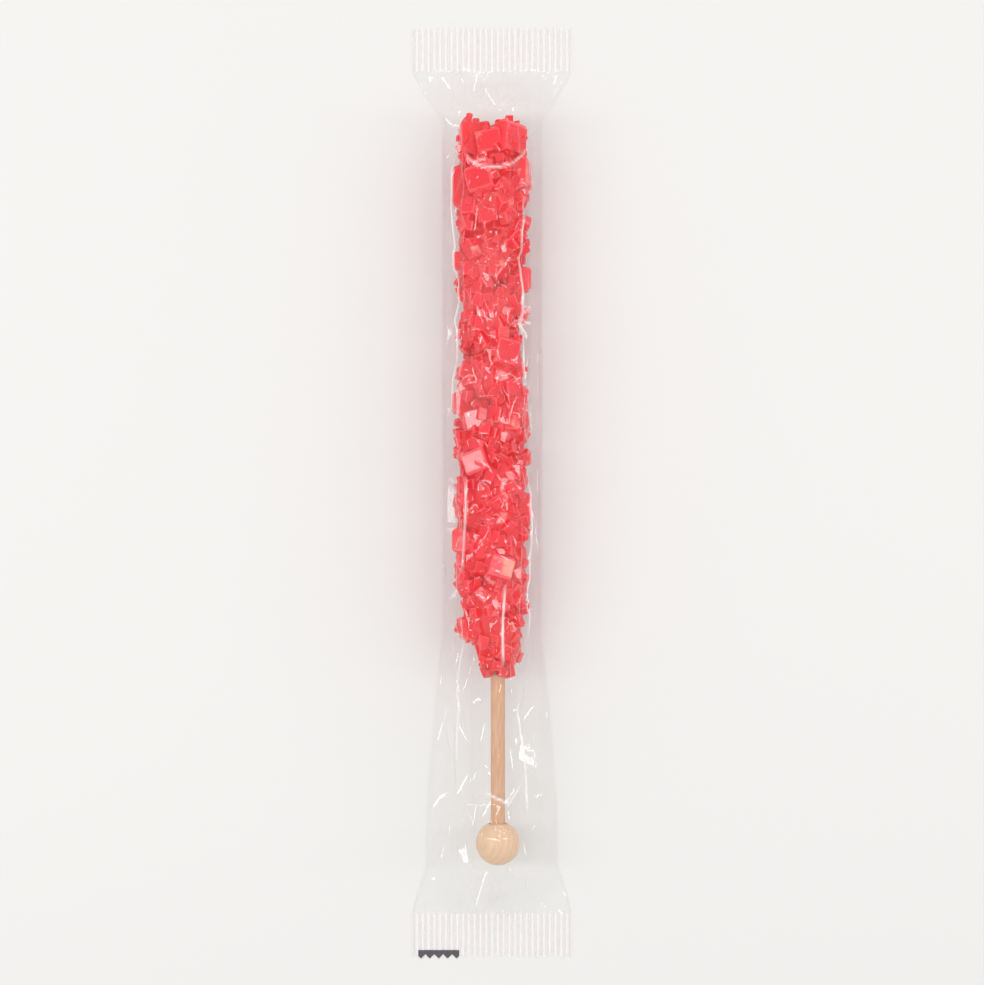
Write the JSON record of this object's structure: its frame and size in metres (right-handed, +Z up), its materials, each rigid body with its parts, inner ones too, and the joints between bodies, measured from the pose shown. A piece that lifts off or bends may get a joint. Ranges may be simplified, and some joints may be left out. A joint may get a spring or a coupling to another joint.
{
  "type": "wrapped rock candy stick",
  "caption": "Cherry red rock candy crystals grown on a wooden dowel with a ball on its end, sealed in a clear film sleeve with crimped, pinked ends.",
  "frame": {"origin": "middle of the sleeve's flat underside", "axes": "+Y along the stick, from the ball to the candy's tip, +X across it, +Z up out of the shown side"},
  "size_m": [0.036, 0.21, 0.0196],
  "materials": {
    "film": "clear glossy film",
    "sugar": "clear cherry red sugar crystal, glossy faces",
    "wood": "plain sanded birch"
  },
  "bodies": {
    "root": {"wrapper": "film", "candy": "sugar", "dowel": "wood", "ball": "wood"}
  },
  "joints": []
}
